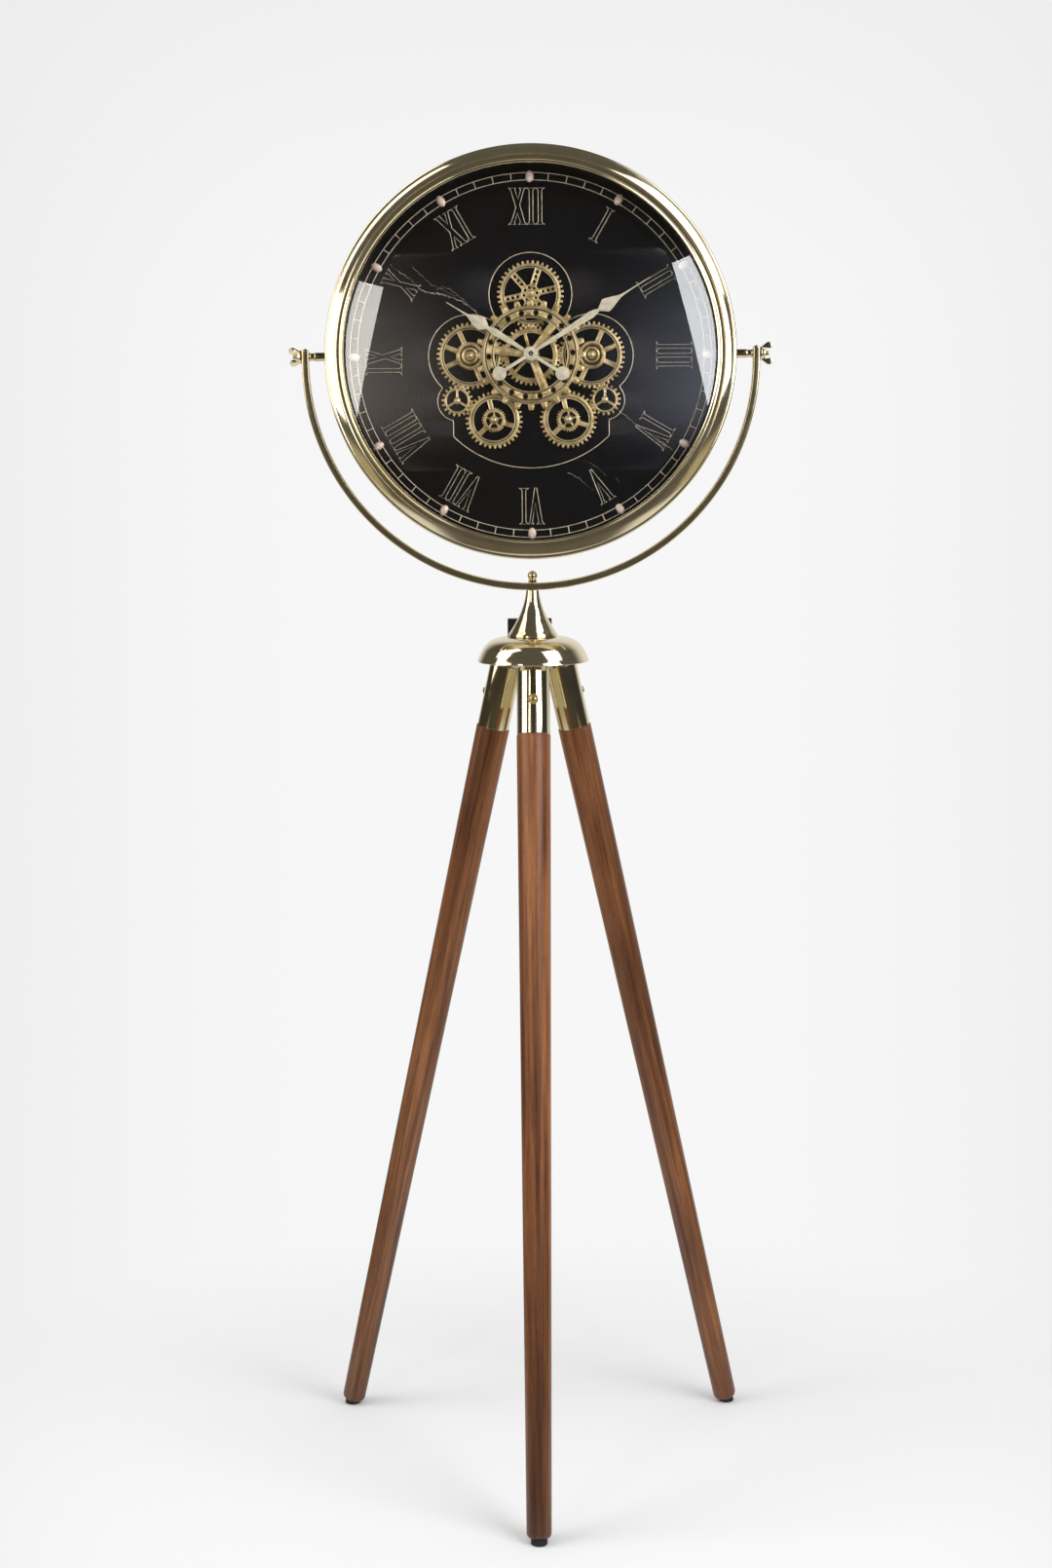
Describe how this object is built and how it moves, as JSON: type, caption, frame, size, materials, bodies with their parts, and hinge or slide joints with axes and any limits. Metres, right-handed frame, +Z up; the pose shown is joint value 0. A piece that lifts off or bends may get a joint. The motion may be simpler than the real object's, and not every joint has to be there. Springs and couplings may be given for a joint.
{
  "type": "tripod floor clock",
  "caption": "Glazed round clock head with an open gear train, tilting in a U-shaped brass yoke that pans on a folding wooden tripod with brass sleeves",
  "frame": {"origin": "centre of the footprint box, on the floor under the tripod", "axes": "+Z up, +X to the viewer's right when facing the dial, -Y towards the viewer who faces the dial"},
  "size_m": [0.5732, 0.4521, 1.603],
  "materials": {
    "back_cover": "matt black",
    "ball_bolt": "polished pale brass",
    "battery_box": "black",
    "battery_lid": "black",
    "bezel": "polished pale brass",
    "canopy": "polished pale brass",
    "case_drum": "polished pale brass",
    "chapter_ring": "pale pink pearl",
    "clock_cell": "plain dark jacket",
    "clock_movement": "black",
    "coarse_wheel": "satin antique brass",
    "dial_plate": "near-black lacquer",
    "dome_glass": "clear, domed",
    "drive_wheel": "satin antique brass",
    "foot_pad_front": "black, matt",
    "foot_pad_left": "black, matt",
    "foot_pad_right": "black, matt",
    "gear_cell": "plain dark jacket",
    "gear_motor": "black",
    "gear_plate": "matt black",
    "hinge_pin_front": "plain",
    "hinge_pin_left": "plain",
    "hinge_pin_right": "plain",
    "hour_hand": "pale gold satin",
    "hub_block": "plain",
    "left_idler": "satin antique brass",
    "left_idler_nut": "satin antique brass",
    "left_lower_nut": "satin antique brass",
    "left_lower_wheel": "satin antique brass",
    "left_nut": "satin antique brass",
    "left_wheel": "satin antique brass",
    "leg_screw_front": "polished pale brass",
    "leg_screw_left": "polished pale brass",
    "leg_screw_right": "polished pale brass",
    "leg_shaft_front": "walnut, satin lacquer",
    "leg_shaft_left": "walnut, satin lacquer",
    "leg_shaft_right": "walnut, satin lacquer",
    "leg_sleeve_front": "polished pale brass",
    "leg_sleeve_left": "polished pale brass",
    "leg_sleeve_right": "polished pale brass",
    "minute_hand": "pale gold satin",
    "motor_shaft": "satin antique brass",
    "movement_nut": "polished pale brass",
    "pivot_stud_left": "polished pale brass",
    "pivot_stud_right": "polished pale brass",
    "right_idler": "satin antique brass",
    "right_idler_nut": "satin antique brass",
    "right_lower_nut": "satin antique brass",
    "right_lower_wheel": "satin antique brass",
    "right_nut": "satin antique brass",
    "right_wheel": "satin antique brass",
    "rivet_ring": "satin antique brass",
    "set_knob": "black",
    "spacer_ring": "matt black",
    "spire": "polished pale brass",
    "switch_slider": "plain",
    "top_wheel": "satin antique brass",
    "wing_nut_left": "polished pale brass",
    "wing_nut_right": "polished pale brass",
    "yoke": "polished pale brass"
  },
  "bodies": {
    "tripod": {"hub_block": "hub_block", "hinge_pin_front": "hinge_pin_front", "hinge_pin_left": "hinge_pin_left", "hinge_pin_right": "hinge_pin_right", "canopy": "canopy", "spire": "spire", "battery_box": "battery_box", "gear_cell": "gear_cell"},
    "leg_front": {"leg_sleeve_front": "leg_sleeve_front", "leg_shaft_front": "leg_shaft_front", "leg_screw_front": "leg_screw_front", "foot_pad_front": "foot_pad_front"},
    "leg_left": {"leg_sleeve_left": "leg_sleeve_left", "leg_shaft_left": "leg_shaft_left", "leg_screw_left": "leg_screw_left", "foot_pad_left": "foot_pad_left"},
    "leg_right": {"leg_sleeve_right": "leg_sleeve_right", "leg_shaft_right": "leg_shaft_right", "leg_screw_right": "leg_screw_right", "foot_pad_right": "foot_pad_right"},
    "ball": {"ball_bolt": "ball_bolt"},
    "lid": {"battery_lid": "battery_lid"},
    "switch": {"switch_slider": "switch_slider"},
    "yoke": {"yoke": "yoke"},
    "head": {"case_drum": "case_drum", "bezel": "bezel", "dome_glass": "dome_glass", "spacer_ring": "spacer_ring", "dial_plate": "dial_plate", "chapter_ring": "chapter_ring", "gear_plate": "gear_plate", "back_cover": "back_cover", "pivot_stud_left": "pivot_stud_left", "pivot_stud_right": "pivot_stud_right", "left_nut": "left_nut", "right_nut": "right_nut", "left_idler_nut": "left_idler_nut", "right_idler_nut": "right_idler_nut", "left_lower_nut": "left_lower_nut", "right_lower_nut": "right_lower_nut", "clock_movement": "clock_movement", "movement_nut": "movement_nut", "clock_cell": "clock_cell", "gear_motor": "gear_motor"},
    "wing_left": {"wing_nut_left": "wing_nut_left"},
    "wing_right": {"wing_nut_right": "wing_nut_right"},
    "drive": {"drive_wheel": "drive_wheel", "coarse_wheel": "coarse_wheel", "rivet_ring": "rivet_ring"},
    "gear_right": {"right_wheel": "right_wheel"},
    "gear_left": {"left_wheel": "left_wheel"},
    "gear_top": {"top_wheel": "top_wheel", "motor_shaft": "motor_shaft"},
    "idler_right": {"right_idler": "right_idler"},
    "idler_left": {"left_idler": "left_idler"},
    "lower_right": {"right_lower_wheel": "right_lower_wheel"},
    "lower_left": {"left_lower_wheel": "left_lower_wheel"},
    "minute": {"minute_hand": "minute_hand", "set_knob": "set_knob"},
    "hour": {"hour_hand": "hour_hand"}
  },
  "joints": [
    {"name": "leg_front_fold", "type": "hinge", "parent": "tripod", "child": "leg_front", "pos_m": [0, 0.03611, 1.00309], "axis": [1, 0, 0], "range_deg": [0, 14]},
    {"name": "leg_left_fold", "type": "hinge", "parent": "tripod", "child": "leg_left", "pos_m": [-0.02988, 0.08786, 1.00309], "axis": [-0.5, -0.866, 0], "range_deg": [0, 14]},
    {"name": "leg_right_fold", "type": "hinge", "parent": "tripod", "child": "leg_right", "pos_m": [0.02988, 0.08786, 1.00309], "axis": [-0.5, 0.866, 0], "range_deg": [0, 14]},
    {"name": "ball_bolt_turn", "type": "hinge", "parent": "tripod", "child": "ball", "pos_m": [0, 0.07061, 1.0893], "axis": [0, 0, 1], "continuous": true},
    {"name": "yoke_pan", "type": "hinge", "parent": "tripod", "child": "yoke", "pos_m": [0, 0.07061, 1.0848], "axis": [0, 0, 1], "continuous": true},
    {"name": "head_tilt", "type": "hinge", "parent": "yoke", "child": "head", "pos_m": [0, 0.07061, 1.35899], "axis": [1, 0, 0], "continuous": true},
    {"name": "wing_nut_left_turn", "type": "hinge", "parent": "head", "child": "wing_left", "pos_m": [-0.2721, 0.07061, 1.35899], "axis": [-1, 0, 0], "continuous": true},
    {"name": "wing_nut_right_turn", "type": "hinge", "parent": "head", "child": "wing_right", "pos_m": [0.2721, 0.07061, 1.35899], "axis": [1, 0, 0], "continuous": true},
    {"name": "battery_lid_slide", "type": "slide", "parent": "tripod", "child": "lid", "axis": [0, 1, 0], "range_m": [0, 0.018]},
    {"name": "switch_slide", "type": "slide", "parent": "tripod", "child": "switch", "axis": [1, 0, 0], "range_m": [0, 0.0034]},
    {"name": "drive_turn", "type": "hinge", "parent": "head", "child": "drive", "pos_m": [0, 0.07061, 1.35899], "axis": [0, -0.9969, 0.0785], "continuous": true},
    {"name": "gear_right_turn", "type": "hinge", "parent": "head", "child": "gear_right", "pos_m": [0.0722, 0.07061, 1.35899], "axis": [0, -0.9969, 0.0785], "continuous": true},
    {"name": "gear_left_turn", "type": "hinge", "parent": "head", "child": "gear_left", "pos_m": [-0.0722, 0.07061, 1.35899], "axis": [0, -0.9969, 0.0785], "continuous": true},
    {"name": "gear_top_turn", "type": "hinge", "parent": "head", "child": "gear_top", "pos_m": [0, 0.07628, 1.43097], "axis": [0, -0.9969, 0.0785], "continuous": true},
    {"name": "idler_right_turn", "type": "hinge", "parent": "head", "child": "idler_right", "pos_m": [0.08783, 0.06647, 1.30632], "axis": [0, -0.9969, 0.0785], "continuous": true},
    {"name": "idler_left_turn", "type": "hinge", "parent": "head", "child": "idler_left", "pos_m": [-0.08783, 0.06647, 1.30632], "axis": [0, -0.9969, 0.0785], "continuous": true},
    {"name": "lower_right_turn", "type": "hinge", "parent": "head", "child": "lower_right", "pos_m": [0.0442, 0.06465, 1.28323], "axis": [0, -0.9969, 0.0785], "continuous": true},
    {"name": "lower_left_turn", "type": "hinge", "parent": "head", "child": "lower_left", "pos_m": [-0.0442, 0.06465, 1.28323], "axis": [0, -0.9969, 0.0785], "continuous": true},
    {"name": "minute_turn", "type": "hinge", "parent": "head", "child": "minute", "pos_m": [0, 0.07061, 1.35899], "axis": [0, -0.9969, 0.0785], "continuous": true},
    {"name": "hour_turn", "type": "hinge", "parent": "head", "child": "hour", "pos_m": [0, 0.07061, 1.35899], "axis": [0, -0.9969, 0.0785], "continuous": true}
  ],
  "couplings": [
    {"joint": "gear_right_turn", "follows": "drive_turn", "ratio": -0.9},
    {"joint": "gear_left_turn", "follows": "drive_turn", "ratio": -0.9},
    {"joint": "gear_top_turn", "follows": "drive_turn", "ratio": -0.9},
    {"joint": "idler_right_turn", "follows": "drive_turn", "ratio": 2},
    {"joint": "idler_left_turn", "follows": "drive_turn", "ratio": 2},
    {"joint": "lower_right_turn", "follows": "drive_turn", "ratio": -1.0588},
    {"joint": "lower_left_turn", "follows": "drive_turn", "ratio": -1.0588},
    {"joint": "hour_turn", "follows": "minute_turn", "ratio": 0.083333}
  ]
}
